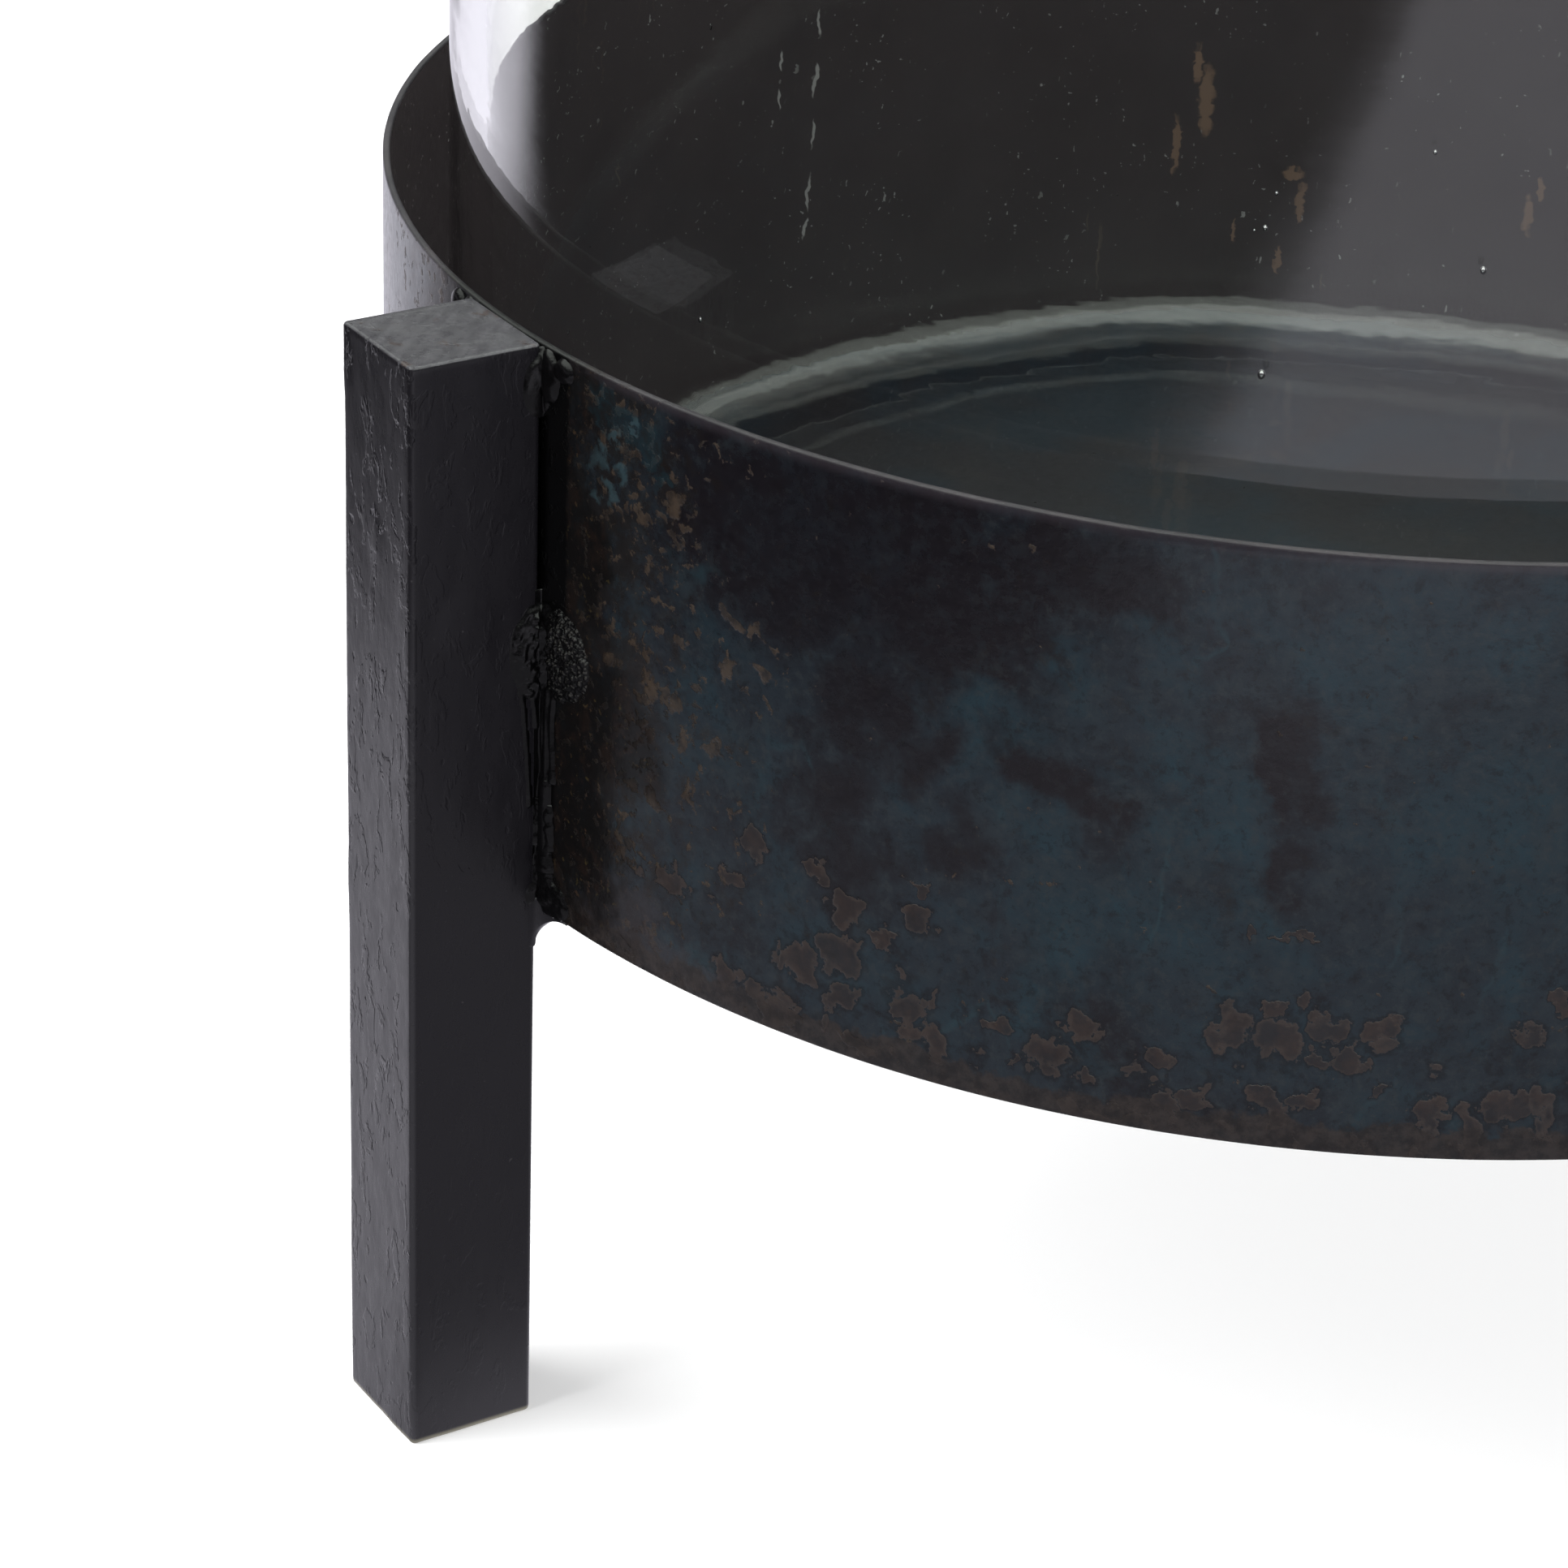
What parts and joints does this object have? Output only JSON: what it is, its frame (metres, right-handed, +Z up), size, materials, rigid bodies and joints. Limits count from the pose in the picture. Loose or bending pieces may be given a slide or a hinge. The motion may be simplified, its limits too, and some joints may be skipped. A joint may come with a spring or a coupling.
{
  "type": "hurricane candle holder",
  "caption": "Hurricane candle holder: thick clear glass cylinder standing loose in a round blued sheet-steel pan carried on square bar legs.",
  "frame": {"origin": "on the table, on the vessel's axis, below the middle of the pan", "axes": "+Z up along the vessel's axis; -Y is the front, between two legs; +X to the right"},
  "size_m": [0.225, 0.225, 0.3158],
  "materials": {
    "clear_glass": "clear hand-blown glass with fine seeds, a faint green tint in its heel",
    "blued_sheet_steel": "flame-blued and lacquered sheet steel, dark blue-black with teal clouds and brown crusted spots",
    "blackened_bar_steel": "satin charcoal-black coating over drawn bar, with fine pits and lumps",
    "weld_metal": "glossy black coated weld"
  },
  "bodies": {
    "stand": {"pan_band": "blued_sheet_steel", "pan_floor": "blued_sheet_steel", "floor_tacks": "weld_metal", "band_seam_weld": "weld_metal", "leg_front_right": "blackened_bar_steel", "rim_tacks_front_right": "weld_metal", "side_welds_front_right": "weld_metal", "corner_welds_front_right": "weld_metal", "leg_back_right": "blackened_bar_steel", "rim_tacks_back_right": "weld_metal", "side_welds_back_right": "weld_metal", "corner_welds_back_right": "weld_metal", "leg_back_left": "blackened_bar_steel", "rim_tacks_back_left": "weld_metal", "side_welds_back_left": "weld_metal", "corner_welds_back_left": "weld_metal", "leg_front_left": "blackened_bar_steel", "rim_tacks_front_left": "weld_metal", "side_welds_front_left": "weld_metal", "corner_welds_front_left": "weld_metal"},
    "vessel": {"glass_vessel": "clear_glass"}
  },
  "joints": [
    {"name": "vessel_lift", "type": "slide", "parent": "stand", "child": "vessel", "axis": [0, 0, 1], "range_m": [0, 0.08]}
  ]
}
